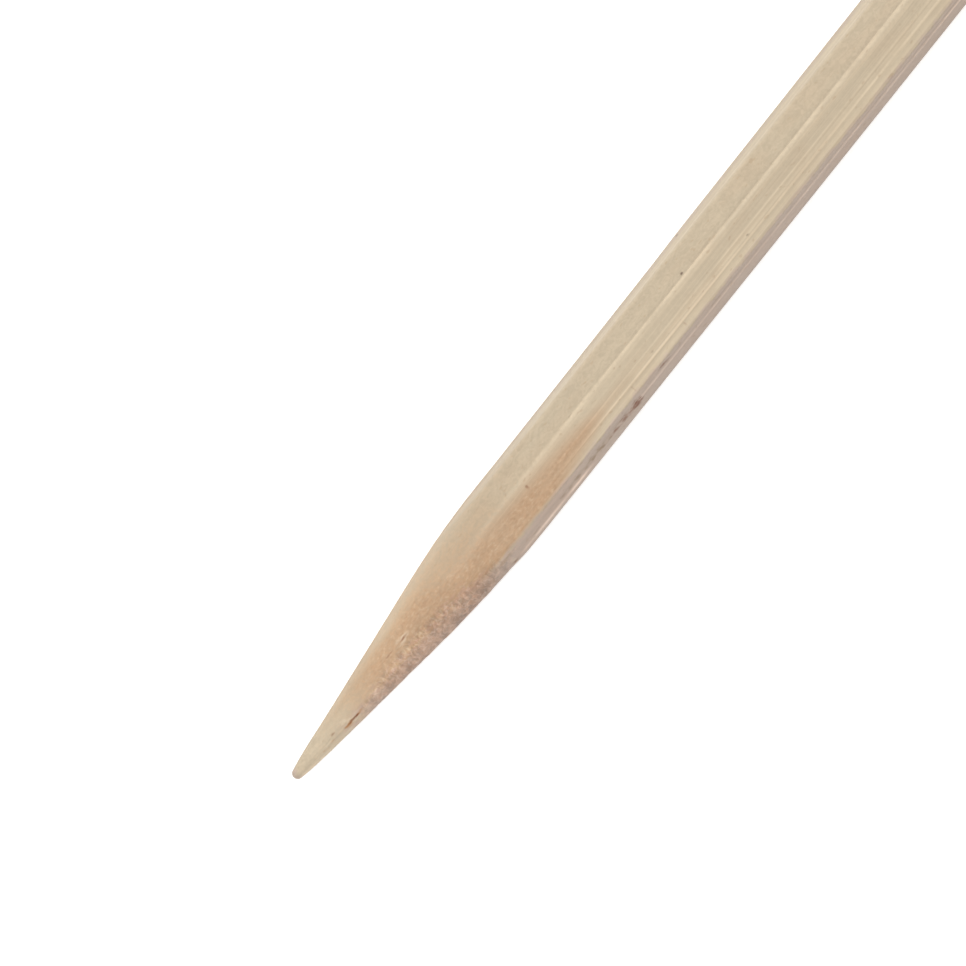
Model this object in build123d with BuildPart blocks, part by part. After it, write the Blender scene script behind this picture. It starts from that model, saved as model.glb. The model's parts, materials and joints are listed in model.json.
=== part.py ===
"""A pair of straight knitting needles made of eight-sided bamboo, laid crossed on a table.

Each needle is a bamboo stick, square with its corners planed off and softened. One end is turned
to a long round point, the other to a round tenon, and a turned ball knob is glued on the tenon.
The lower needle rests on the table at its knob and at the start of its point. The upper needle
rests on the table at the start of its point and on the lower needle where the two cross.
Millimetres, +Z up. The points lie towards -X, and the origin is on the table under the middle.
"""

from math import asin, atan, cos, hypot, radians, sin, sqrt
import os

from build123d import *

# The stick. The way round it is that of a round 8 mm needle, so its stitches are 8 mm stitches.
needle_length = 230.0  # end to end, with the knob
across_flats = 7.5
across_bevels = 7.8
corner_radius = 0.8

# The point, as distances from the tip and radii there.
nub_radius = 0.59
nub_sweep = 80.0  # degrees of the round nub, from the tip to where the swell leaves it
swell_end = 5.3
swell_end_radius = 1.255
cone_end = 22.3
cone_end_radius = 3.24
shoulder_radius = 135.0  # of the long curve from the cone to the full stick

# The knob and its joint.
knob_diameter = 16.0
knob_end_diameter = 8.0  # the flat that the ball ends in
collar_diameter = 9.6
collar_length = 1.2
cove_radius = 1.6
tenon_diameter = 6.0
tenon_length = 9.0
tenon_chamfer = 0.4
glue_space = 0.6  # left free at the bottom of the knob's hole

# How the pair lies.
crossing_distance = 150.0  # from each tip to where the needles cross
crossing_angle = 30.0
crossing_gap = 0.55  # between the facing flats where the axes cross; they come closer beside it

# The stick's corners. Neighbouring faces turn by an eighth of a circle.
bevel_cut = across_flats - across_bevels / sqrt(2)  # taken off the square stick, along each side
half_face = across_flats / 2 - bevel_cut
face_to_corner = radians(360 / 8) / 2
corner_reach = hypot(across_flats / 2, half_face) - corner_radius * (1 / cos(face_to_corner) - 1)

# The shoulder's curve leaves the cone without a crease.
cone_slope = (cone_end_radius - swell_end_radius) / (cone_end - swell_end)
cone_angle = atan(cone_slope)
shoulder_centre = cone_end + shoulder_radius * sin(cone_angle)
shoulder_centre_radius = cone_end_radius - shoulder_radius * cos(cone_angle)
cutter_clearance = 0.02  # how far outside the stick's corners the turned profile leaves it


def shoulder_place(radius):
    """How far from the tip the shoulder's curve comes to a radius."""
    return shoulder_centre - sqrt(shoulder_radius**2 - (radius - shoulder_centre_radius) ** 2)


flat_start = shoulder_place(across_flats / 2)  # where a flat begins, and the stick can rest
turned_radius = corner_reach + cutter_clearance
turned_end = shoulder_place(turned_radius)

# The knob's profile: a collar, a cove, and a ball that the cove touches without a crease.
knob_radius = knob_diameter / 2
knob_end_radius = knob_end_diameter / 2
collar_radius = collar_diameter / 2
cove_centre_radius = collar_radius + cove_radius
cove_share = cove_radius / (knob_radius + cove_radius)
cove_to_ball = sqrt((knob_radius + cove_radius) ** 2 - cove_centre_radius**2)
ball_centre = collar_length + cove_to_ball  # from the knob's front face
cove_end = (collar_length + cove_to_ball * cove_share, cove_centre_radius * (1 - cove_share))
knob_length = ball_centre + sqrt(knob_radius**2 - knob_end_radius**2)
shaft_length = needle_length - knob_length

# The heights of the axes at the crossing, and how much each axis climbs for a millimetre along it.
resting_height = across_flats / 2
lower_climb = (knob_radius - resting_height) / (shaft_length + ball_centre - flat_start)
lower_height = resting_height + (crossing_distance - flat_start) * lower_climb
upper_height = lower_height + across_flats + crossing_gap
upper_climb = (upper_height - resting_height) / (crossing_distance - flat_start)


def needle_plane(yaw, climb, height):
    """The plane through a needle's axis at its tip: X runs along the axis to the knob, Y up."""
    turn = radians(yaw)
    level = cos(asin(climb))
    along = Vector(level * cos(turn), level * sin(turn), climb)
    across = Vector(sin(turn), -cos(turn), 0)
    tip = Vector(0, 0, height) - along * crossing_distance
    return Plane(origin=tip, x_dir=along, z_dir=across)


def section_plane(needle, distance):
    """The plane square across a needle's axis, at a distance from its tip."""
    return Plane(origin=needle.origin + needle.x_dir * distance, x_dir=needle.z_dir, z_dir=needle.x_dir)


def make_shaft(needle):
    """The eight-sided stick with its turned point and its tenon."""
    with BuildPart() as shaft:
        with BuildSketch(section_plane(needle, 0)) as section:
            Rectangle(across_flats, across_flats)
            chamfer(section.vertices(), bevel_cut)
            fillet(section.vertices(), corner_radius)
        extrude(amount=shaft_length)
        with BuildSketch(needle):
            with BuildLine():
                nub = CenterArc((nub_radius, 0), nub_radius, 180, -nub_sweep)
                swell = TangentArc(nub @ 1, (swell_end, swell_end_radius), tangent=nub % 1)
                cone = Line(swell @ 1, (cone_end, cone_end_radius))
                shoulder = RadiusArc(cone @ 1, (turned_end, turned_radius), shoulder_radius)
                Polyline(shoulder @ 1, (shaft_length, turned_radius), (shaft_length, 0), (0, 0))
            make_face()
        revolve(axis=Axis(needle.origin, needle.x_dir), mode=Mode.INTERSECT)
        with BuildSketch(section_plane(needle, shaft_length)):
            Circle(tenon_diameter / 2)
        tenon = extrude(amount=tenon_length)
        chamfer(tenon.faces().sort_by(Axis(needle.origin, needle.x_dir))[-1].edges(), tenon_chamfer)
    return shaft.part


def make_knob(needle):
    """The turned ball knob with its collar, bored for the tenon."""
    seat = section_plane(needle, shaft_length)
    with BuildPart() as knob:
        with BuildSketch(Plane(origin=seat.origin, x_dir=needle.x_dir, z_dir=needle.z_dir)):
            with BuildLine():
                collar = Polyline((0, 0), (0, collar_radius), (collar_length, collar_radius))
                cove = RadiusArc(collar @ 1, cove_end, -cove_radius)
                ball = RadiusArc(cove @ 1, (knob_length, knob_end_radius), knob_radius)
                Polyline(ball @ 1, (knob_length, 0), (0, 0))
            make_face()
        revolve(axis=Axis(seat.origin, seat.z_dir))
        with BuildSketch(seat):
            Circle(tenon_diameter / 2)
        extrude(amount=tenon_length + glue_space, mode=Mode.SUBTRACT)
    return knob.part


def main():
    needles = {
        "lower": needle_plane(-crossing_angle / 2, lower_climb, lower_height),
        "upper": needle_plane(crossing_angle / 2, upper_climb, upper_height),
    }
    pieces = {}
    for name, needle in needles.items():
        pieces[name + "_shaft"] = make_shaft(needle)
        pieces[name + "_knob"] = make_knob(needle)
    pair = Compound(list(pieces.values())).bounding_box()
    to_origin = Location((-pair.center().X, -pair.center().Y, -pair.min.Z))

    os.makedirs("parts", exist_ok=True)
    for name, piece in pieces.items():
        piece.move(to_origin)
        piece.label = name
        export_step(piece, f"parts/{name}.step")


main()
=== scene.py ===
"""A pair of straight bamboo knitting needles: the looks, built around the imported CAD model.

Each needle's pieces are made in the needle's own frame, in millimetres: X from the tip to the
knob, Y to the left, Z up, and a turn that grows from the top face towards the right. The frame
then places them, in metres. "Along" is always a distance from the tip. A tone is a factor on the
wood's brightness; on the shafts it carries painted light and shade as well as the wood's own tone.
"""

import json
import math

import bpy
import numpy as np
from mathutils import Matrix, Vector


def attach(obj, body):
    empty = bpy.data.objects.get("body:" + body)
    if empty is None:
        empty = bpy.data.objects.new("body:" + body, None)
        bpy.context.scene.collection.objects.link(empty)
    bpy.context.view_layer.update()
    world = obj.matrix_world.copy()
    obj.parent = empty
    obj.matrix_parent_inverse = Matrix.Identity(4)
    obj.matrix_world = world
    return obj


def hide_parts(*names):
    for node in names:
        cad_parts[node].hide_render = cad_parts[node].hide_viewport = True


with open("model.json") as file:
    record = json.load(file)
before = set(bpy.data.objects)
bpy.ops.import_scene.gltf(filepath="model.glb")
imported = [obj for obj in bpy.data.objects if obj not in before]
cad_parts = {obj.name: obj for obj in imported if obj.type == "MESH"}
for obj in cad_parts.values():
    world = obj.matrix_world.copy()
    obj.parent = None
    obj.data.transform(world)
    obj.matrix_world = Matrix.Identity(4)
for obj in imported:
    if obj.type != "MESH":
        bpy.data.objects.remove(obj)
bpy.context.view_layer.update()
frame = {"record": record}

MM = 0.001

# The stick and its point, as the CAD model has them.
FACES = 8
FACE_TURN = 2 * math.pi / FACES
ACROSS_FLATS = 7.5
ACROSS_BEVELS = 7.8
CORNER_SHARPNESS = 43.0  # rounds the eight corners as much as the CAD model does
NUB_RADIUS = 0.59
NUB_SLOPE = math.tan(math.radians(10))  # of the profile where it leaves the round nub
SWELL_END = 5.3
SWELL_END_RADIUS = 1.255
CONE_END = 22.3
CONE_END_RADIUS = 3.24
SHOULDER_RADIUS = 135.0
SHOULDER_SHARPNESS = 90.0  # keeps the edge crisp where the turned point meets the flat faces
POINT_LENGTH = 34.2  # where the turned point has run out into the stick

# The knob, as the CAD model has it.
KNOB_RADIUS = 8.0
KNOB_END_RADIUS = 4.0
COLLAR_RADIUS = 4.8
COLLAR_LENGTH = 1.2
COVE_RADIUS = 1.6
TENON_RADIUS = 3.0
TENON_LENGTH = 9.0
TENON_CHAMFER = 0.4
GLUE_SPACE = 0.6

# What the CAD model leaves out.
COLLAR_EDGE = 0.18  # the radius that sandpaper gave the collar's edges
RIM_CUT = 2.0  # how many degrees of the ball went with the sharp rim of its flat end
RIM_CORNERS = ((-0.04, 0.02), (0.0, -0.12))  # the corners left there, from where the rim was
KNOB_LAYER = 5.4  # how thick the layers of bamboo are that the knob is turned from
TURNING_MARKS = 0.010  # how deep the faint rings are that turning left
TWIST = {"lower": 4.5, "upper": -3.0}  # how far the sawn stick turns out of true, in degrees
TIP_LEAN = 0.09  # how far the point's thin end leans to the left

# The mesh: the turns of a ring's points, and how far apart the rings stand up to each distance.
RING_POINTS = 400
TURNS = np.linspace(-math.pi, math.pi, RING_POINTS, endpoint=False)
NUB_RINGS = np.linspace(0.12, 1.4, 9)  # turns round the nub's centre, from the tip, in radians
RING_STEPS = ((30, 0.3), (40, 0.5), (100, 0.85))
PLAIN_STEP = 4.0  # from there to the knob

MOUNTS = {m["name"]: m for m in frame["record"]["mounts"]}


# ---------------------------------------------------------------- the needles' own frames


def needle_frame(needle):
    """The matrix that carries a needle's own frame, in metres, to the row's frame."""
    point = MOUNTS[needle + "_point"]
    along = -Vector(point["axis"]).normalized()
    left = Vector((0, 0, 1)).cross(along).normalized()
    up = along.cross(left)
    turn = Matrix((along, left, up)).transposed().to_4x4()
    return Matrix.Translation(point["pos_m"]) @ turn


def needle_length(needle):
    """From the tip to the knob's flat end, in millimetres."""
    ends = [Vector(MOUNTS[needle + end]["pos_m"]) for end in ("_point", "_knob_end")]
    return (ends[1] - ends[0]).length / MM


def knob_lengths():
    """The ball's centre and the knob's end, from the knob's front face."""
    reach = KNOB_RADIUS + COVE_RADIUS
    centre = COLLAR_LENGTH + math.sqrt(reach**2 - (COLLAR_RADIUS + COVE_RADIUS) ** 2)
    return centre, centre + math.sqrt(KNOB_RADIUS**2 - KNOB_END_RADIUS**2)


# ---------------------------------------------------------------- curves and steps


def smooth(low, high, value):
    """0 below low, 1 above high, and a smooth rise between them."""
    share = np.clip((value - low) / (high - low), 0, 1)
    return share * share * (3 - 2 * share)


def bell(value, middle, width):
    """1 at the middle, falling to 0 over a few widths."""
    return np.exp(-(((value - middle) / width) ** 2))


def between(rise, fall, value):
    """1 between a smooth rise over one pair of values and a smooth fall over another."""
    return smooth(*rise, value) * (1 - smooth(*fall, value))


def side(start, full):
    """Round a ring, 0 up to one turn and 1 from another on, both in degrees from the top."""
    return smooth(math.radians(start), math.radians(full), TURNS)


def both_sides(start, full):
    """The same to the right and to the left."""
    return smooth(math.radians(start), math.radians(full), np.abs(TURNS))


def strip(middle, width):
    """Round a ring, 1 at a turn in degrees, falling to 0 over a few widths."""
    return bell(TURNS, math.radians(middle), math.radians(width))


# ---------------------------------------------------------------- the shaft's shape


def stick_radius(turn):
    """The stick's radius in each direction: flats and bevels in turn, with soft corners."""
    total = np.zeros_like(turn)
    for face in range(FACES):
        half = (ACROSS_BEVELS if face % 2 else ACROSS_FLATS) / 2
        facing = np.maximum(np.cos(turn - face * FACE_TURN), 0)
        total += (facing / half) ** CORNER_SHARPNESS
    return total ** (-1 / CORNER_SHARPNESS)


def point_radius(along):
    """The turned point's radius at each distance from the tip."""
    nub_end = NUB_RADIUS * (1 - math.sin(math.atan(NUB_SLOPE)))
    nub_end_radius = NUB_RADIUS * math.cos(math.atan(NUB_SLOPE))
    swell_length = SWELL_END - nub_end
    swell_bend = (SWELL_END_RADIUS - nub_end_radius - NUB_SLOPE * swell_length) / swell_length**2
    past_nub = along - nub_end
    slope = (CONE_END_RADIUS - SWELL_END_RADIUS) / (CONE_END - SWELL_END)
    angle = math.atan(slope)
    centre = CONE_END + SHOULDER_RADIUS * math.sin(angle)
    centre_radius = CONE_END_RADIUS - SHOULDER_RADIUS * math.cos(angle)
    before_centre = np.clip(centre - along, 0, None)
    return np.select(
        [along < nub_end, along < SWELL_END, along < CONE_END],
        [
            np.sqrt(np.clip(along * (2 * NUB_RADIUS - along), 0, None)),
            nub_end_radius + NUB_SLOPE * past_nub + swell_bend * past_nub**2,
            SWELL_END_RADIUS + slope * (along - SWELL_END),
        ],
        centre_radius + np.sqrt(np.clip(SHOULDER_RADIUS**2 - before_centre**2, 0, None)),
    )


def shaft_stations(length):
    """Distances from the tip at which the shaft's rings stand, closer where the shape is busy."""
    nub = NUB_RADIUS * (1 - np.cos(NUB_RINGS))
    rings = [nub[:-1]]
    start = nub[-1]
    for end, step in (*RING_STEPS, (length, PLAIN_STEP)):
        rings.append(np.linspace(start, end, round((end - start) / step), endpoint=False))
        start = end
    return np.concatenate([*rings, [length]])


def twist(needle, along):
    """How far the stick has turned, in radians, which shows as faces that drift sideways."""
    return math.radians(TWIST[needle]) * between((36, 100), (105, 140), along)


def bend(along):
    """How far the point leans to the left of the axis."""
    return TIP_LEAN * (1 - smooth(0, 9, along))


def ring_at(along, radius, turn):
    """A ring of points across the axis. The turn starts at the top and goes to the right."""
    along = np.broadcast_to(along, turn.shape)
    return np.stack([along, -radius * np.sin(turn), radius * np.cos(turn)], axis=-1)


def tube_mesh(name, rings, fields):
    """A closed mesh through rings of points, with a value at each point for each named field."""
    count = len(rings[0])
    points = np.concatenate([rings[0].mean(0)[None], *rings, rings[-1].mean(0)[None]])
    around = np.arange(count)
    after = (around + 1) % count
    faces = [(0, 1 + a, 1 + b) for a, b in zip(around, after)]
    for ring in range(len(rings) - 1):
        low = 1 + ring * count
        high = low + count
        faces += [(low + b, low + a, high + a, high + b) for a, b in zip(around, after)]
    last = 1 + (len(rings) - 1) * count
    faces += [(last + b, last + a, len(points) - 1) for a, b in zip(around, after)]
    mesh = bpy.data.meshes.new(name)
    mesh.from_pydata((points * MM).tolist(), [], [tuple(int(i) for i in f) for f in faces])
    mesh.shade_smooth()
    for field, values in fields.items():
        padded = np.concatenate([values[0][:1], values.ravel(), values[-1][:1]])
        attribute = mesh.attributes.new(field, "FLOAT", "POINT")
        attribute.data.foreach_set("value", padded.astype(np.float32))
    return mesh


# ---------------------------------------------------------------- the shaft's surface

SURFACE_SEEDS = {"lower": 11, "upper": 29}

# Soft random lines all over the stick, in its relief and in its tone: how strong they are, the
# distance over which they change, and how many of a ring's points they blur over.
SOFT_RELIEF = ((0.0025, 14.0, 1), (0.010, 45.0, 9))
SOFT_TONES = ((0.005, 30.0, 1), (0.008, 60.0, 6))
SANDED_RELIEF = 0.006  # of the waves across the sanded point
TORN_RELIEF = 0.012  # and of those in the torn grain, which show in the tone too
TORN_TONE = 0.045

# Fibre lines along the faces, with a few other lines among them. The face counts from the top
# towards the right. The rest is the line's place across the face, how far it drifts in 100 mm, its
# half width, how far it stands proud, how much paler it is, and where it starts.
LINES = {
    "lower": [
        (0, 0.06, -0.30, 0.105, 0.018, 0.15, 41),
        (0, 0.42, 0.00, 0.250, 0.000, 0.08, 46),
        (0, 0.79, -0.05, 0.110, 0.026, 0.23, 44),
        (0, 1.00, -0.05, 0.090, -0.010, -0.04, 43),
        (0, 1.42, 0.00, 0.240, 0.006, 0.09, 46),
        (0, 1.80, 0.00, 0.160, 0.050, 0.04, 30),
        (1, -0.66, 0.00, 0.200, -0.020, -0.12, 44),
        (1, -0.30, 0.00, 0.140, 0.022, 0.33, 50),
        (1, 0.72, 0.00, 0.120, 0.022, 0.02, 36),
        # The next one is a wide band, a little darker, towards the right bevel's lower edge.
        (1, 1.05, 0.00, 0.500, 0.000, -0.06, 48),
        (7, 1.20, 0.20, 0.300, 0.000, -0.02, 34),
        # The next two pale lines, along the corner of the left bevel, stand a little proud and are
        # painted highlights, broken along their length.
        (7, -1.34, 0.00, 0.220, 0.012, 0.06, 34),
        (6, 1.30, 0.00, 0.110, 0.016, 0.15, 46),
    ],
    "upper": [
        (0, -1.15, -0.20, 0.090, 0.018, 0.10, 36),
        (0, -0.45, -0.30, 0.220, 0.000, 0.05, 40),
        (0, 0.30, -0.10, 0.075, 0.020, 0.12, 33),
        (1, 0.35, 0.20, 0.085, 0.022, 0.13, 37),
        (7, -0.20, 0.30, 0.100, 0.018, 0.10, 39),
        (7, 0.85, 0.10, 0.070, 0.016, 0.08, 35),
    ],
}
LINE_FADE = 4  # a line comes in over this distance on each side of its start
LINE_WANDER = 0.03  # how far it strays to each side on its way

# The faces that seldom show have a few chance lines each, within these ranges.
HIDDEN_SIDES = range(2, 7)
HIDDEN_LINES = 3
HIDDEN_PLACE = 1.2
HIDDEN_DRIFT = 0.3
HIDDEN_WIDTH = 0.08
HIDDEN_LEAST = (0.0, 0.0, 33)  # how far proud, how much paler, and where it starts
HIDDEN_MOST = (0.02, 0.12, 45)

# The step on the top face: its place across the face and its drift in 100 mm, how high it stands,
# how deep the groove before it is, and how much painted highlight its front and the slope behind
# it get, and how much painted shade its groove gets.
LIP_PLACE = {"lower": (-1.79, -0.35), "upper": (1.70, -0.4)}
LIP_HEIGHT = 0.05
LIP_GROOVE = 0.03
PLATEAU_HIGHLIGHT = 0.13
PEAK_HIGHLIGHT = 0.10
GROOVE_SHADE = -0.03

# Each face's tone, counting from the top towards the right: partly the faces' own tone and, on the
# lower needle, partly painted light and shade, paler or darker by the way each face turns to the
# lamp.
FACE_TONES_AND_SHADES = {
    "lower": (0.98, 1.03, 1.00, 0.94, 0.98, 1.02, 0.95, 0.88),
    "upper": (0.95, 1.01, 0.93, 1.00, 1.03, 0.95, 0.98, 0.95),
}
FACE_BLEND = 30  # the higher, the sharper one face's tone gives way to the next's
SMOOTH_FACES = {"lower": (7, 3), "upper": (2, 6)}  # these show pores and hardly any fibres

# Strips a little paler or darker than the wood round them: by how much, the turn of the middle and
# the width in degrees, and the distances over which they come in and go out. The darker strip on
# the left bevel, at -73 degrees, is painted shade.
NEVER = (300, 301)  # past the knob
STRIPS_AND_SHADE = [
    (0.05, 18, 34, (5, 10), (17, 24)),
    (-0.06, -8, 14, (14, 18), (23, 28)),
    (0.05, 32, 3, (29, 33), NEVER),
    (-0.06, 26.5, 2.4, (29, 33), NEVER),
    # painted shade along the left bevel
    (-0.06, -73, 9, (25, 29), (39, 46)),
]
# How much paler the painted glint on the right bevel's corner is.
CORNER_GLINT = 0.50


def flicker(rng, along, cell, columns=1):
    """Random values that change smoothly along the stick, over a cell's length, in each column."""
    cells = int(along[-1, 0] / cell) + 3
    values = rng.standard_normal((cells, columns))
    place = along[:, 0] / cell
    before = np.floor(place).astype(int)
    share = smooth(0, 1, place - before)[:, None]
    return values[before] * (1 - share) + values[before + 1] * share


def streaks(rng, along, cell, blur):
    """Soft random lines: steady along the stick over a cell's length, blurred across it."""
    values = flicker(rng, along, cell, len(TURNS))
    reach = np.arange(-3 * blur, 3 * blur + 1)
    weights = bell(reach, 0, blur)
    weights /= np.sqrt((weights**2).sum())
    return sum(w * np.roll(values, r, axis=1) for w, r in zip(weights, reach))


def across_face(face, radius):
    """How far to the right of a face's middle each point is, and whether it is near that face."""
    turn = TURNS - face * FACE_TURN
    return radius * np.sin(turn), np.cos(turn) > 0.7  # within 45 degrees


def drifting(place, drift, along):
    """A place across a face, given at 50 mm from the tip, that drifts by so much in 100 mm."""
    return place + drift * (along - 50) / 100


def hidden_lines(rng):
    """Chance fibre lines for the faces that seldom show."""
    lines = []
    for face in HIDDEN_SIDES:
        for place in rng.uniform(-HIDDEN_PLACE, HIDDEN_PLACE, HIDDEN_LINES):
            proud, pale, start = rng.uniform(HIDDEN_LEAST, HIDDEN_MOST)
            drift = rng.uniform(-HIDDEN_DRIFT, HIDDEN_DRIFT)
            lines.append((face, place, drift, HIDDEN_WIDTH, proud, pale, start))
    return lines


def line_marks(needle, along, radius, rng):
    """What the fibre lines add: how far the surface stands proud, and how much paler it is.

    A line strays a little to each side, and fades and comes back on its way.
    """
    proud, pale = np.zeros_like(radius), np.zeros_like(radius)
    lines = LINES[needle] + hidden_lines(rng)
    for face, place, drift, width, line_proud, line_pale, start in lines:
        across, on_face = across_face(face, radius)
        wander = LINE_WANDER * np.sin(along / rng.uniform(9, 25) + rng.uniform(0, 6.3))
        near = bell(across, drifting(place, drift, along) + wander, width) * on_face
        near = near * smooth(start - LINE_FADE, start + LINE_FADE, along)
        near = near * (0.85 + 0.28 * np.clip(flicker(rng, along, 1.9), -1.8, 1.8))
        proud += line_proud * near
        pale += line_pale * near
    return proud, pale


def lip(needle, along, radius, rng):
    """What the step adds where two faces were planed apart: how far proud, and a painted highlight
    along it with painted shade in its groove.

    It comes up from the point, sharpens, and falls away slowly towards the middle of the face.
    """
    place, drift = LIP_PLACE[needle]
    across, on_face = across_face(0, radius)
    past = (across - drifting(place, drift, along)) * (-1 if place > 0 else 1)  # inwards
    crisp = smooth(40, 58, along)
    front = bell(past, 0, 0.17 - 0.11 * crisp)
    fading = np.where(past > 0, bell(past, 0, 0.56 + 0.22 * smooth(60, 90, along)), front)
    groove = bell(past, -0.15, 0.10) * crisp
    plateau_end = 0.42 + 0.10 * smooth(60, 75, along)
    plateau = np.where(past > 0, 1 - smooth(plateau_end, plateau_end + 0.38, past), front)
    peak = np.where(past > 0, bell(past, 0, 0.22), front) * smooth(38, 50, along)
    uneven = 1 + 0.16 * np.clip(flicker(rng, along, 1.6), -2, 2)
    strength = smooth(28, 42, along) * on_face * uneven
    step = smooth(36, 48, along) * (LIP_HEIGHT * fading - LIP_GROOVE * groove)
    # The tone is painted light: a highlight along the step and on its slope, and shade in its
    # groove.
    return strength * step, strength * (
        PLATEAU_HIGHLIGHT * plateau + PEAK_HIGHLIGHT * peak + GROOVE_SHADE * groove
    )


def face_tones_and_shades(needle):
    """Each face's tone, blended at the corners: partly its own, partly painted light and shade."""
    facing = [np.exp(FACE_BLEND * np.cos(TURNS - face * FACE_TURN)) for face in range(FACES)]
    return np.array(FACE_TONES_AND_SHADES[needle]) @ facing / sum(facing)


def painted_shade_and_light(along):
    """Painted shade on the underside, at the tip and on the left of the point, and painted light on
    its right.
    """
    shade = 1 - 0.15 * both_sides(84, 112)
    shade = shade * (1 + 0.44 * side(5, 60) * (1 - smooth(2, 14, along)))
    shade = shade * (1 - 0.07 * side(-15, -60) * (1 - smooth(11, 18, along)))
    return shade * (1 - 0.14 * (1 - smooth(0.3, 1.0, along)))


def strip_tones_and_shade(along):
    """How much paler the strips and the right of the cone's wide end are, with painted shade on the
    left bevel.
    """
    tone = -0.07 * side(5, 60) * between((21, 25), (29, 32), along)
    for change, middle, width, rise, fall in STRIPS_AND_SHADE:
        tone = tone + change * strip(middle, width) * between(rise, fall, along)
    return tone


def corner_glint(along, rng):
    """How much paler the corner of the right bevel is, where the lathe just touched it: a painted
    highlight, a glint along that corner.
    """
    corner = strip(54, 3.2) * between((31, 34), (41, 44), along)
    return CORNER_GLINT * corner * (1 + 0.45 * np.clip(flicker(rng, along, 1.3), -1.8, 1.5))


def uneven_sides(needle, along):
    """How far the flats and the cone are out of true. The turns here are in radians."""
    if needle == "upper":
        return 0.04 * bell(TURNS, -1.4, 0.4) * smooth(80, 86, along)
    overcut = -0.12 * bell(TURNS, 1.35, 0.5) * between((20, 29), (30.2, 32.2), along)
    hollow = -0.09 * bell(TURNS, -1.75, 0.35) * between((31, 38), (61, 66.5), along)
    return overcut + hollow


def torn_share(along):
    """How torn the grain is, on the right of the cone and a little way up the top face."""
    from_left = np.radians(2 - 16 * smooth(10, 15, along) + 26 * smooth(20, 29, along))
    right = smooth(from_left, from_left + math.radians(18), TURNS)
    return right * between((8, 12), (27, 34), along)


def shaft_relief(needle, along, radius, on_stick):
    """How far the shaft's surface stands proud at each point, and its tone there, painted light and
    shade included.
    """
    rng = np.random.default_rng(SURFACE_SEEDS[needle])
    relief = sum(high * streaks(rng, along, cell, blur) for high, cell, blur in SOFT_RELIEF)
    tone = 1 + sum(pale * streaks(rng, along, cell, blur) for pale, cell, blur in SOFT_TONES)
    # Each face's tone, with painted light and shade in it, comes in past the point.
    tone = tone + (face_tones_and_shades(needle) - 1) * smooth(14, 34, along)
    for proud, pale in (line_marks(needle, along, radius, rng), lip(needle, along, radius, rng)):
        relief = relief + on_stick * proud
        tone = tone + pale
    # Painted shade on the underside and the tip, painted light on the point's right, then the
    # strips with the painted shade on the left bevel.
    tone = tone * painted_shade_and_light(along) + strip_tones_and_shade(along)
    # A painted highlight, a glint along the right bevel's corner, on the lower needle.
    if needle == "lower":
        tone = tone + corner_glint(along, rng)
    torn = torn_share(along) * streaks(rng, along, 0.55, 7)
    sanded = (1 - on_stick) * streaks(rng, along, 0.9, 4)
    relief = relief + SANDED_RELIEF * sanded + TORN_RELIEF * torn
    return relief + uneven_sides(needle, along), tone + TORN_TONE * torn


def shaft_tan(along, radius):
    """How browned the wood is: the sanded point, and a tail of it along the top face."""
    left_part = (0.36 + 0.30 * side(-75, -45)) * between((4, 11), (21, 44), along)
    # The right part is browner. Its tail reaches furthest along the middle of the top face.
    tail_end = 44 + 6.5 * bell(radius * np.sin(TURNS), 0.15, 1.15)
    right_part = between((3, 17), (tail_end - 9, tail_end + 3), along)
    right_part = right_part * (1 - 0.06 * smooth(26, 32, along))
    right_part = right_part * (1 - 0.78 * both_sides(20, 27) * smooth(25, 31, along))
    right_part = right_part * (1 - 0.15 * side(5, 35) * (1 - smooth(22, 28, along)))
    border = np.radians(-60 + 27 * smooth(20, 28, along))
    right = smooth(border, border + math.radians(36), TURNS)
    return left_part * (1 - right) + right_part * right


def painted_cool_shade(along):
    """How much painted cool shade the wood gets: on the right bevel, round the underside and at the
    very tip.
    """
    under = both_sides(92, 112)
    border = np.radians(-15 + 35 * smooth(24, 31, along))
    bevel = smooth(border, math.radians(31), TURNS) * (1 - under)
    sides = np.maximum(bevel, 0.4 * under) * smooth(5, 12, along)
    return np.maximum(sides, 0.9 * (1 - smooth(0.3, 1.1, along)))


def smooth_faced(needle):
    """1 on the faces that show pores, 0 on those that show fibres."""
    facing = [np.cos(TURNS - face * FACE_TURN) for face in SMOOTH_FACES[needle]]
    return sum(smooth(0.90, 0.935, near) for near in facing)


def up_the_tenon(values, shape, tenon_rings):
    """A field's values at all of the stick's points, with the last ring's again on the tenon."""
    values = np.broadcast_to(values, shape)
    return np.concatenate([values, *[values[-1:]] * tenon_rings])


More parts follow.
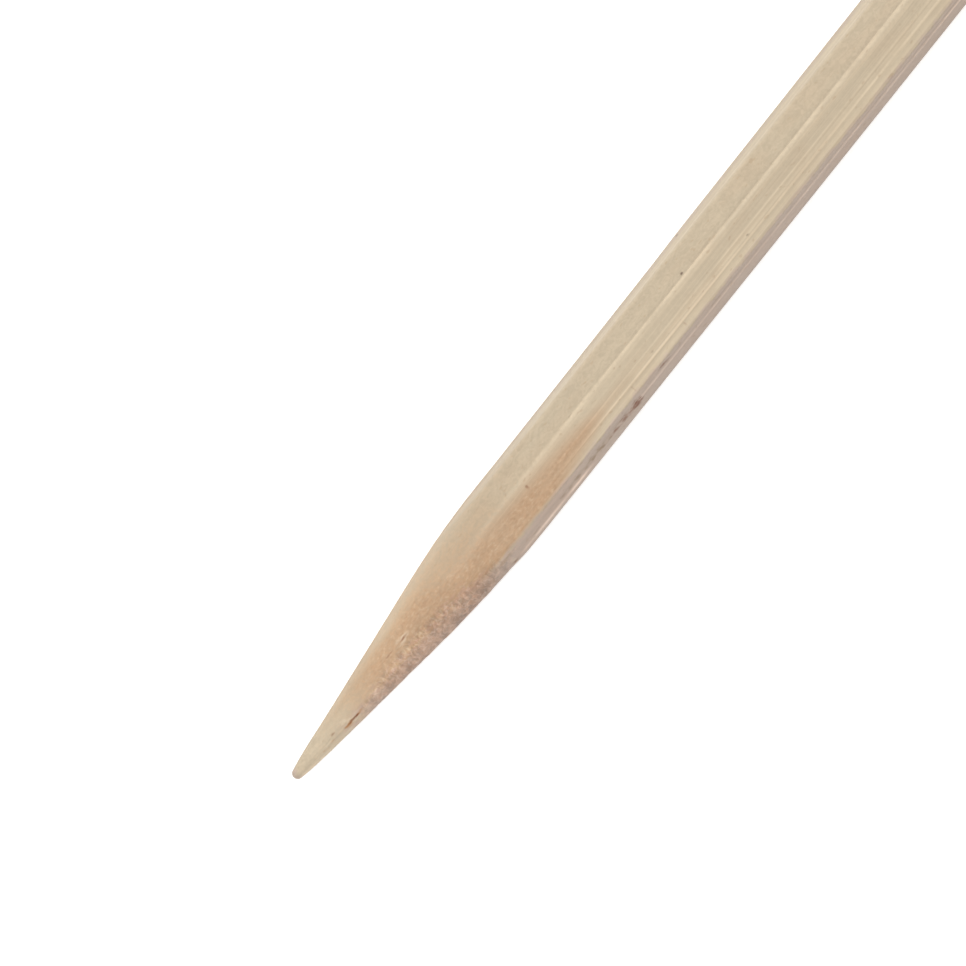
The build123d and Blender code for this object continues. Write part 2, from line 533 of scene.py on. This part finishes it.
def shaft_mesh(needle, length):
    """The stick with its turned point, and its tenon in the knob."""
    stations = shaft_stations(length)
    along = stations[:, None]
    stick = stick_radius(TURNS)
    past_point = 10.0  # a radius outside the stick, so that the point has no say there
    point = np.where(along < POINT_LENGTH + 4, point_radius(along), past_point)
    radius = (stick**-SHOULDER_SHARPNESS + point**-SHOULDER_SHARPNESS) ** (-1 / SHOULDER_SHARPNESS)
    on_stick = smooth(0.0, 0.25, point - stick)
    relief, tone = shaft_relief(needle, along, radius, on_stick)
    radius = radius + relief * smooth(0.2, 1.5, along)
    turned = twist(needle, along) + TURNS
    rings = [ring_at(s, r, t) for s, r, t in zip(stations, radius, turned)]
    for ring, lean in zip(rings, bend(stations)):
        ring[:, 1] += lean
    tenon_end = length + TENON_LENGTH
    tenon = [
        ring_at(length, TENON_RADIUS, TURNS),
        ring_at(tenon_end - TENON_CHAMFER, TENON_RADIUS, TURNS),
        ring_at(tenon_end, TENON_RADIUS - TENON_CHAMFER, TURNS),
    ]
    fields = {
        "tone": tone,
        "tan": shaft_tan(along, radius),
        "cool_shade": painted_cool_shade(along),
        "sanded": 1 - on_stick,
        "smooth": smooth_faced(needle),
        "torn": torn_share(along),
    }
    fields = {name: up_the_tenon(f, tone.shape, len(tenon)) for name, f in fields.items()}
    return tube_mesh(needle + "_shaft_bamboo", rings + tenon, fields)


# ---------------------------------------------------------------- the knob's shape

KNOB_SEEDS = {"lower": 3, "upper": 4}


def arc(centre, radius, start, end, count):
    """Points along a circle's arc, as places along the axis and radii, without the last point."""
    angles = np.radians(np.linspace(start, end, count, endpoint=False))
    return [(centre[0] + radius * math.cos(a), centre[1] + radius * math.sin(a)) for a in angles]


def knob_profile():
    """The knob's outline from the bottom of its hole round to its flat end."""
    centre, end = knob_lengths()
    hole_end = TENON_LENGTH + GLUE_SPACE
    cove_middle = (COLLAR_LENGTH, COLLAR_RADIUS + COVE_RADIUS)
    meeting = math.degrees(math.atan2(cove_middle[1], cove_middle[0] - centre))
    rim = math.degrees(math.asin(KNOB_END_RADIUS / KNOB_RADIUS))
    edge = COLLAR_EDGE
    outline = [(hole_end, TENON_RADIUS), (edge, TENON_RADIUS), (0, TENON_RADIUS + edge)]
    outline += arc((edge, COLLAR_RADIUS - edge), edge, 180, 90, 5)
    outline += [(COLLAR_LENGTH * share, COLLAR_RADIUS) for share in (0.2, 0.5, 0.8)]
    outline += arc(cove_middle, COVE_RADIUS, 270, 180 + meeting, 14)
    outline += arc((centre, 0), KNOB_RADIUS, meeting, rim + RIM_CUT, 90)
    outline += [(end + place, KNOB_END_RADIUS + radius) for place, radius in RIM_CORNERS]
    outline += [(end, KNOB_END_RADIUS * share) for share in (0.8, 0.6, 0.4, 0.2, 0.05)]
    return outline


def knob_mesh(needle, front):
    """The turned ball knob, with the faint rings that turning leaves."""
    rng = np.random.default_rng(KNOB_SEEDS[needle])
    turn = TURNS[::2]
    rings = []
    for place, radius in knob_profile():
        past_collar = radius > COLLAR_RADIUS + 0.05
        mark = TURNING_MARKS * rng.standard_normal() if past_collar else 0.0
        rings.append(ring_at(front + place, radius + mark, turn))
    return tube_mesh(needle + "_knob_bamboo", rings, {})


# ---------------------------------------------------------------- materials


class Graph:
    """A material's nodes, made one call at a time. A value is a number or a node's output."""

    def __init__(self, name):
        self.material = bpy.data.materials.new(name)
        self.material.use_nodes = True
        self.tree = self.material.node_tree
        self.shader = self.tree.nodes["Principled BSDF"]

    def add(self, kind, inputs=(), output=0, **settings):
        """A node with its settings and inputs. What comes back is one of its outputs."""
        node = self.tree.nodes.new("ShaderNode" + kind)
        for setting, value in settings.items():
            setattr(node, setting, value)
        self.feed(node, inputs)
        return node.outputs[output]

    def feed(self, node, inputs):
        """Give a node's sockets a number, a colour or another node's output each."""
        for name, value in dict(inputs).items():
            if isinstance(value, bpy.types.NodeSocket):
                self.tree.links.new(value, node.inputs[name])
            else:
                node.inputs[name].default_value = value

    def math(self, operation, first, second=0.0, clamp=False):
        return self.add("Math", {0: first, 1: second}, operation=operation, use_clamp=clamp)

    def plus(self, first, second, clamp=False):
        return self.math("ADD", first, second, clamp)

    def minus(self, first, second):
        return self.math("SUBTRACT", first, second)

    def times(self, first, second):
        return self.math("MULTIPLY", first, second)

    def vector(self, operation, first, second):
        return self.add("VectorMath", {0: first, 1: second}, operation=operation)

    def length(self, vector):
        return self.add("VectorMath", {0: vector}, output="Value", operation="LENGTH")

    def noise(self, place, along, across, detail, distortion=0.0):
        """A noise that changes at one rate along the needle and at another across it."""
        place = self.vector("MULTIPLY", place, (along, across, across))
        inputs = {"Vector": place, "Scale": 1.0, "Detail": detail, "Distortion": distortion}
        return self.add("TexNoise", inputs)

    def ramp(self, value, low, high, start=0.0, end=1.0):
        """A smooth change from start to end, as the value goes from low to high."""
        inputs = {"Value": value, "From Min": low, "From Max": high, "To Min": start, "To Max": end}
        return self.add("MapRange", inputs, interpolation_type="SMOOTHSTEP")

    def sway(self, noise, most, half_range=0.20):
        """A noise about 0.5 turned into one about 0, up to the most to either side."""
        return self.ramp(noise, 0.5 - half_range, 0.5 + half_range, -most, most)

    def attribute(self, name):
        return self.add("Attribute", output="Fac", attribute_name=name)

    def mix(self, share, first, second, blend="MIX"):
        inputs = {0: share, 6: first, 7: second}
        return self.add("Mix", inputs, output=2, data_type="RGBA", blend_type=blend)

    def brighten(self, colour, factor):
        """The colour times a number."""
        grey = self.add("CombineXYZ", {0: factor, 1: factor, 2: factor})
        return self.mix(1.0, colour, grey, "MULTIPLY")

    def own_place(self):
        """The place in the piece's own frame, in millimetres."""
        return self.vector("MULTIPLY", self.add("TexCoord", output="Object"), (1 / MM,) * 3)

    def wood(self, colour, roughness, height, strength, gloss):
        """The material, once its shader has these looks and a bump from the height."""
        bump = {"Height": height, "Strength": strength, "Distance": BUMP_DEPTH}
        looks = {"Base Color": colour, "Roughness": roughness, "Normal": self.add("Bump", bump)}
        self.feed(self.shader, {**looks, "Specular IOR Level": gloss})
        return self.material


BUMP_DEPTH = 0.04 * MM

# Added to the place that a needle's noises are read at, so that the two needles differ.
NOISE_SHIFT = {"lower": 0.0, "upper": 37.0}

BAMBOO = (0.555, 0.462, 0.333, 1)
BROWNED = (0.495, 0.325, 0.197, 1)  # the sanded point
SHADE_TINT = (0.985, 0.950, 1.080, 1)  # what the painted cool shade multiplies the colour by
FIBRE = (0.400, 0.270, 0.160, 1)  # thin dark lines and specks
FLECK = (0.380, 0.215, 0.120, 1)  # dark dashes where it is browned
TORN = (0.660, 0.520, 0.360, 1)  # pale dashes there, and the curls of torn grain
PALE_WOOD_AND_HIGHLIGHT = (0.750, 0.630, 0.470, 1)  # pale wood, and the painted highlight beside an open split
RUSSET = (0.450, 0.220, 0.085, 1)
MARK = (0.200, 0.062, 0.022, 1)
STAIN = (0.235, 0.140, 0.055, 1)
PORE = (0.130, 0.085, 0.060, 1)
KNOB_BAMBOO = (0.520, 0.375, 0.225, 1)
KNOB_GLUE = (0.200, 0.110, 0.050, 1)

# The marks on the shafts, each with its distance from the tip, its turn from the top in degrees,
# half its length, half its width and its strength. Streaks are dark splits and scratches.
STREAKS = {
    "lower": [
        (8.75, 19, 1.05, 0.17, 1.0),
        (6.2, -3, 0.45, 0.13, 0.50),
        (15.9, -20, 1.25, 0.09, 0.40),
        (18.2, -18, 0.85, 0.13, 0.65),
        (31.0, 56, 0.38, 0.30, 0.80),
        (37.6, -13.4, 0.17, 0.30, 0.50),
        (47.0, 44, 0.60, 0.34, 0.62),
        (48.5, 42, 0.70, 0.42, 0.60),
        (49.3, 44, 0.45, 0.40, 0.50),
        (50.4, 43, 0.80, 0.60, 0.90),
        (54.9, 33, 0.95, 0.22, 0.60),
        (51.3, 19, 0.11, 0.34, 0.22),
        (59.2, 17, 0.13, 0.30, 0.24),
        (95.0, 140, 1.30, 0.18, 0.7),
        (58.0, -120, 0.60, 0.16, 0.7),
    ],
    "upper": [
        (9.2, -38, 0.90, 0.16, 0.8),
        (21.5, 12, 0.60, 0.14, 0.6),
        (77.0, -33, 1.20, 0.20, 0.7),
        (171.0, -8, 1.60, 0.18, 0.6),
        (64.0, 95, 0.90, 0.18, 0.6),
    ],
}
RUST = {
    "lower": [
        (8.1, 20, 1.10, 0.21, 0.90),
        (9.6, 18, 0.75, 0.19, 0.70),
        (17.9, -18, 0.90, 0.12, 0.40),
        (7.9, 30, 0.95, 0.13, 0.34),
        (5.6, 17, 0.35, 0.10, 0.30),
        (4.7, 27, 0.75, 0.07, 0.32),
        (4.2, 21, 0.22, 0.09, 0.34),
    ],
    "upper": [(8.8, -38, 1.00, 0.18, 0.8)],
}
STAINS = {
    "lower": [
        (30.6, 32, 1.30, 0.36, 0.32),
        (34.6, 47, 0.80, 0.16, 0.30),
        (45.0, 43, 6.60, 0.38, 0.22),
        (38.9, 44, 0.50, 0.28, 0.34),
        (40.0, 45, 0.45, 0.26, 0.36),
        (41.3, 44, 0.60, 0.36, 0.50),
        (42.4, 45, 0.40, 0.28, 0.38),
        (43.5, 43, 0.65, 0.40, 0.58),
        (44.9, 43, 0.80, 0.42, 0.60),
        (46.2, 44, 0.45, 0.32, 0.46),
    ],
    "upper": [(70.0, 41, 5.20, 0.34, 0.30), (131.0, -44, 3.60, 0.40, 0.30)],
}
PORES = {
    "lower": [
        (45.4, -28, 0.35, 0.10, 0.45),
        (62.7, -31.2, 0.17, 0.14, 0.80),
        (69.4, 7.4, 0.24, 0.13, 0.65),
        (65.3, -102, 0.25, 0.20, 0.8),
        (55.2, 6, 0.22, 0.12, 0.30),
    ],
    "upper": [
        (44.0, 8, 0.22, 0.16, 0.8),
        (118.0, 20, 0.25, 0.15, 0.8),
        (88.0, -21, 0.20, 0.15, 0.7),
    ],
}

# Paler wood. Both points have these marks, and the strongest streaks on a point are open splits
# with pale edges, so many times as long and as wide as the split; those edges are painted
# highlights.
PALE_MARKS = [
    (7.3, 41, 1.10, 0.20, 0.60),
    (7.9, -3, 0.50, 0.24, 0.50),
    (5.0, 12, 0.60, 0.16, 0.45),
]
SPLIT_STRENGTH = 0.6  # a streak stronger than this is a split
EDGE_LENGTH = 1.1
EDGE_WIDTH = 2.6
EDGE_STRENGTH = 0.55


def pale_wood_and_highlights(needle):
    """The marks of paler wood and the painted highlights beside the splits, in the terms of the
    others.
    """
    marks = []
    for along, turn, half_length, half_width, strength in STREAKS[needle]:
        if along < POINT_LENGTH and strength > SPLIT_STRENGTH:
            edge = (EDGE_LENGTH * half_length, EDGE_WIDTH * half_width, EDGE_STRENGTH)
            marks.append((along, turn, *edge))
    return marks + PALE_MARKS


def place_of(needle, along, turn_degrees):
    """The place on a shaft's surface at a distance from its tip and a turn from its top face."""
    along = np.array(along)
    turn = np.radians([turn_degrees])
    radius = np.minimum(point_radius(along), stick_radius(turn))
    place = ring_at(along, radius, turn + twist(needle, along))[0]
    return place + (0, bend(along), 0)


def marked(graph, own, outline, needle, marks):
    """How strongly each place is marked, with the marks' outlines roughened by a noise."""
    share = 0.0
    for along, turn, half_length, half_width, strength in marks:
        away = graph.vector("SUBTRACT", own, place_of(needle, along, turn))
        away = graph.vector("MULTIPLY", away, (1 / half_length, 1 / half_width, 1 / half_width))
        away = graph.plus(graph.length(away), outline)
        share = graph.math("MAXIMUM", share, graph.ramp(away, 0.10, 1.30, strength, 0.0))
    return share


# The shaft's noises: how fast each changes along the stick and across it, its detail, and its
# distortion.
SHAFT_NOISES = {
    "broad": (0.012, 0.9, 2.0, 0.0),
    "fibres": (0.035, 5.0, 3.0, 0.0),
    "threads": (0.05, 11.0, 2.0, 0.0),
    "dark lines": (0.018, 3.1, 1.0, 0.0),
    "mottle": (1.1, 1.5, 3.0, 1.6),
    "swirl": (1.7, 0.95, 2.0, 0.8),
    "curls": (1.25, 0.80, 1.0, 1.4),
    "dashes": (2.0, 4.0, 2.0, 0.0),
    "grit": (3.4, 3.4, 2.0, 0.0),
    "specks": (1.3, 2.4, 1.0, 0.0),
    "blush": (0.16, 0.5, 2.0, 0.0),
    "border": (0.9, 2.5, 2.0, 0.0),
    "outline": (1.7, 4.0, 1.0, 0.0),
}
SHAFT_FIELDS = ("tone", "tan", "cool_shade", "sanded", "smooth", "torn")  # held by the shaft's mesh


def shaft_values(graph, own, shift):
    """All that the shaft's look is made from, by name: the noises and the mesh's own values."""
    place = graph.vector("ADD", own, (shift, shift, shift))
    values = {name: graph.noise(place, *noise) for name, noise in SHAFT_NOISES.items()}
    for field in SHAFT_FIELDS:
        values[field] = graph.attribute(field)
    tan = graph.plus(values["tan"], graph.sway(values["blush"], 0.09))
    uneven = graph.times(graph.sway(values["mottle"], 0.12), values["sanded"])
    values["tan"] = graph.plus(tan, uneven, clamp=True)
    values["brown"] = graph.ramp(values["tan"], 0.60, 0.95)
    values["speck"] = graph.ramp(values["specks"], 0.66, 0.76, 0.0, 0.30)
    return values


def fibre_share(graph, values):
    """How clearly fibres show: less where the wood is sanded, browned or has pores."""
    share = graph.ramp(values["brown"], 0.0, 1.0, 1.0, 0.55)
    for name, least in (("sanded", 0.35), ("smooth", 0.25)):
        share = graph.times(share, graph.ramp(values[name], 0.0, 1.0, 1.0, least))
    return share


def shaft_tone(graph, values, fibrous):
    """The tone of each place: the mesh's own, painted light and shade included, with fibres,
    blotches and torn grain.
    """
    streak = graph.plus(graph.sway(values["fibres"], 0.035), graph.sway(values["threads"], 0.025))
    blotch = graph.sway(values["mottle"], 0.05, 0.18)
    blotch = graph.plus(blotch, graph.sway(values["grit"], 0.02, 0.15))
    uneven = graph.plus(values["sanded"], graph.times(values["smooth"], 0.7))
    uneven = graph.plus(uneven, values["brown"], clamp=True)
    changes = (
        graph.times(streak, fibrous),
        graph.times(blotch, graph.ramp(uneven, 0.0, 1.0, 0.45, 1.0)),
        graph.times(graph.ramp(values["swirl"], 0.36, 0.60, -0.19, 0.09), values["torn"]),
        graph.sway(values["broad"], 0.02),
    )
    tone = values["tone"]
    for change in changes:
        tone = graph.plus(tone, change)
    return tone


def shaft_colour(graph, values, fibrous):
    """The wood's colour before any marks: pale, browned at the point, with painted cool shade on
    the bevel.
    """
    colour = graph.mix(values["tan"], BAMBOO, BROWNED)
    curl = graph.math("ABSOLUTE", graph.minus(values["curls"], 0.5))
    for share, where, grain in (
        (graph.ramp(values["dashes"], 0.50, 0.68, 0.0, 0.30), values["brown"], FLECK),
        (graph.ramp(values["dashes"], 0.32, 0.46, 0.28, 0.0), values["brown"], TORN),
        (graph.ramp(curl, 0.0, 0.06, 0.50, 0.0), values["torn"], TORN),
        (graph.ramp(values["dark lines"], 0.62, 0.74, 0.0, 0.12), fibrous, FIBRE),
    ):
        colour = graph.mix(graph.times(share, where), colour, grain)
    # Painted cool shade, with a ragged border, on the right bevel, round the underside and at the
    # tip.
    cool_shade = values["cool_shade"]
    border = graph.times(cool_shade, graph.minus(1.0, cool_shade))
    ragged = graph.times(border, graph.sway(values["border"], 2.0, 0.15))
    shade_tinted = graph.mix(1.0, colour, SHADE_TINT, "MULTIPLY")
    colour = graph.mix(graph.plus(cool_shade, ragged, clamp=True), colour, shade_tinted)
    colour = graph.brighten(colour, shaft_tone(graph, values, fibrous))
    return graph.mix(values["speck"], colour, FIBRE)


def shaft_height(graph, values, fibrous, cuts):
    """The height for the shaft's bump: fibres and torn grain, less the cuts and specks in it."""
    height = graph.plus(graph.times(values["fibres"], 0.6), graph.times(values["threads"], 0.4))
    swirl = graph.times(values["swirl"], graph.ramp(values["torn"], 0.0, 1.0, 0.2, 3.0))
    height = graph.plus(graph.times(height, fibrous), swirl)
    return graph.minus(height, graph.plus(cuts, graph.times(values["speck"], 0.8)))


def shaft_material(needle):
    """Split and planed bamboo: long fibres, pale lines, pores, dark marks, and a browned point."""
    graph = Graph(needle + "_shaft")
    own = graph.own_place()
    values = shaft_values(graph, own, NOISE_SHIFT[needle])
    fibrous = fibre_share(graph, values)
    colour = shaft_colour(graph, values, fibrous)
    outline = graph.sway(values["outline"], 0.3)
    cuts = 0.0
    for marks, mark_colour, is_cut in (
        (pale_wood_and_highlights(needle), PALE_WOOD_AND_HIGHLIGHT, False),
        (STAINS[needle], STAIN, False),
        (RUST[needle], RUSSET, False),
        (STREAKS[needle], MARK, True),
        (PORES[needle], PORE, True),
    ):
        share = marked(graph, own, outline, needle, marks)
        colour = graph.mix(share, colour, mark_colour)
        if is_cut:
            cuts = graph.plus(cuts, share)
    roughness = graph.ramp(values["fibres"], 0.3, 0.7, 0.50, 0.62)
    roughness = graph.plus(roughness, graph.times(values["sanded"], 0.06))
    height = shaft_height(graph, values, fibrous, cuts)
    return graph.wood(colour, roughness, height, strength=0.6, gloss=0.35)


def knob_material(needle):
    """Laminated bamboo, turned: three layers with thin glue lines, fibres that end as dots."""
    graph = Graph(needle + "_knob")
    own = graph.own_place()
    shift = NOISE_SHIFT[needle]
    place = graph.vector("ADD", own, (shift, shift, shift))
    fibres = graph.noise(place, 0.06, 3.6, 3.0)
    dots = graph.noise(place, 0.035, 2.4, 1.0)
    broad = graph.noise(place, 0.05, 0.5, 2.0)
    up = graph.add("SeparateXYZ", {0: own}, output=2)
    layer = graph.plus(graph.math("DIVIDE", up, KNOB_LAYER), 0.5)
    layer_seed = graph.plus(graph.math("FLOOR", layer), shift)
    layer_tone = graph.add("TexWhiteNoise", {"W": layer_seed}, noise_dimensions="1D")
    seam = graph.math("ABSOLUTE", graph.minus(graph.math("FRACT", layer), 0.5))
    tone = graph.plus(graph.ramp(fibres, 0.3, 0.7, 0.93, 1.06), graph.sway(broad, 0.04))
    tone = graph.plus(tone, graph.sway(layer_tone, 0.05, 0.5))
    colour = graph.mix(graph.ramp(dots, 0.56, 0.70, 0.0, 0.45), KNOB_BAMBOO, FIBRE)
    colour = graph.brighten(colour, tone)
    colour = graph.mix(graph.ramp(seam, 0.485, 0.5, 0.0, 0.55), colour, KNOB_GLUE)
    roughness = graph.ramp(fibres, 0.3, 0.7, 0.38, 0.50)
    return graph.wood(colour, roughness, fibres, strength=0.4, gloss=0.4)


# ---------------------------------------------------------------- stage, camera, light

VIEW_ROLL = math.radians(12)  # how far the camera stands to the left of the lower needle's top face
VIEW_LEAN = math.radians(5.9)  # and towards its knob
NEEDLE_SLANT = math.radians(51.56)  # of the lower needle in the picture
LENS = 85.0
SENSOR = 36.0
PICTURE_WIDTH = 94.6  # what the picture spans where the camera looks
LOOK_ALONG = 34.83  # where the camera looks: from the tip along the needle, and to its left
LOOK_LEFT = 3.61

# From here on in metres.
CLIP = (0.01, 20.0)
FLOOR_HALF = 10.0
PAPER = (0.9, 0.9, 0.9, 1)
PAPER_GLOW = 0.5  # lets the floor burn out to white
SKY = (0.93, 0.95, 1.0, 1)
SKY_STRENGTH = 0.35
KEY_PLACE = (-0.05, 0.36, 0.85)
KEY_SIZE = 0.5
KEY_POWER = 7.2
KEY_COLOUR = (1.0, 0.97, 0.93)


def add_camera():
    """The camera, over the lower needle's point, square to it but for a small lean."""
    back = Vector((
        math.sin(VIEW_LEAN),
        math.sin(VIEW_ROLL) * math.cos(VIEW_LEAN),
        math.cos(VIEW_ROLL) * math.cos(VIEW_LEAN),
    ))
    sideways = Vector((0, math.cos(VIEW_ROLL), -math.sin(VIEW_ROLL)))  # to the left, in the picture
    along = sideways.cross(back)
    right = along * math.cos(NEEDLE_SLANT) - sideways * math.sin(NEEDLE_SLANT)
    up = back.cross(right)
    turn = Matrix((right, up, back)).transposed().to_4x4()
    look = Vector((LOOK_ALONG, 0, 0)) + sideways * LOOK_LEFT
    distance = PICTURE_WIDTH * LENS / SENSOR
    place = (look + back * distance) * MM
    data = bpy.data.cameras.new("camera")
    data.lens = LENS
    data.sensor_width = SENSOR
    data.clip_start, data.clip_end = CLIP
    camera = bpy.data.objects.new("camera", data)
    camera.matrix_world = needle_frame("lower") @ Matrix.Translation(place) @ turn
    bpy.context.scene.collection.objects.link(camera)
    bpy.context.scene.camera = camera


def add_floor():
    """A wide sheet of pale paper on the table."""
    half = FLOOR_HALF
    corners = [(-half, -half, 0), (half, -half, 0), (half, half, 0), (-half, half, 0)]
    mesh = bpy.data.meshes.new("floor")
    mesh.from_pydata(corners, [], [(0, 1, 2, 3)])
    floor = bpy.data.objects.new("floor", mesh)
    bpy.context.scene.collection.objects.link(floor)
    paper = Graph("floor_paper")
    glow = {"Emission Color": (1, 1, 1, 1), "Emission Strength": PAPER_GLOW}
    paper.feed(paper.shader, {"Base Color": PAPER, "Roughness": 0.9, **glow})
    mesh.materials.append(paper.material)


def add_light():
    """An even sky, and one large soft lamp aimed at the middle of the pair."""
    world = bpy.data.worlds.new("studio")
    world.use_nodes = True
    background = world.node_tree.nodes["Background"]
    background.inputs["Color"].default_value = SKY
    background.inputs["Strength"].default_value = SKY_STRENGTH
    bpy.context.scene.world = world
    data = bpy.data.lights.new("key", "AREA")
    data.shape = "DISK"
    data.size = KEY_SIZE
    data.energy = KEY_POWER
    data.color = KEY_COLOUR
    light = bpy.data.objects.new("key", data)
    light.location = KEY_PLACE
    light.rotation_mode = "QUATERNION"
    light.rotation_quaternion = (-Vector(KEY_PLACE)).to_track_quat("-Z", "Y")
    bpy.context.scene.collection.objects.link(light)


def add_piece(mesh, needle, node, material):
    """Place a mesh on its needle, in its node's stead."""
    piece = bpy.data.objects.new(mesh.name, mesh)
    bpy.context.scene.collection.objects.link(piece)
    piece.matrix_world = needle_frame(needle)
    mesh.materials.append(material)
    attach(piece, needle + "_needle")
    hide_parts(node)


def main():
    knob_length = knob_lengths()[1]
    for needle in ("lower", "upper"):
        length = needle_length(needle) - knob_length
        shaft = shaft_material(needle)
        add_piece(shaft_mesh(needle, length), needle, needle + "_shaft", shaft)
        knob = knob_material(needle)
        add_piece(knob_mesh(needle, length), needle, needle + "_knob", knob)
    bpy.context.scene.view_settings.view_transform = "Standard"
    add_floor()
    add_light()
    add_camera()


main()
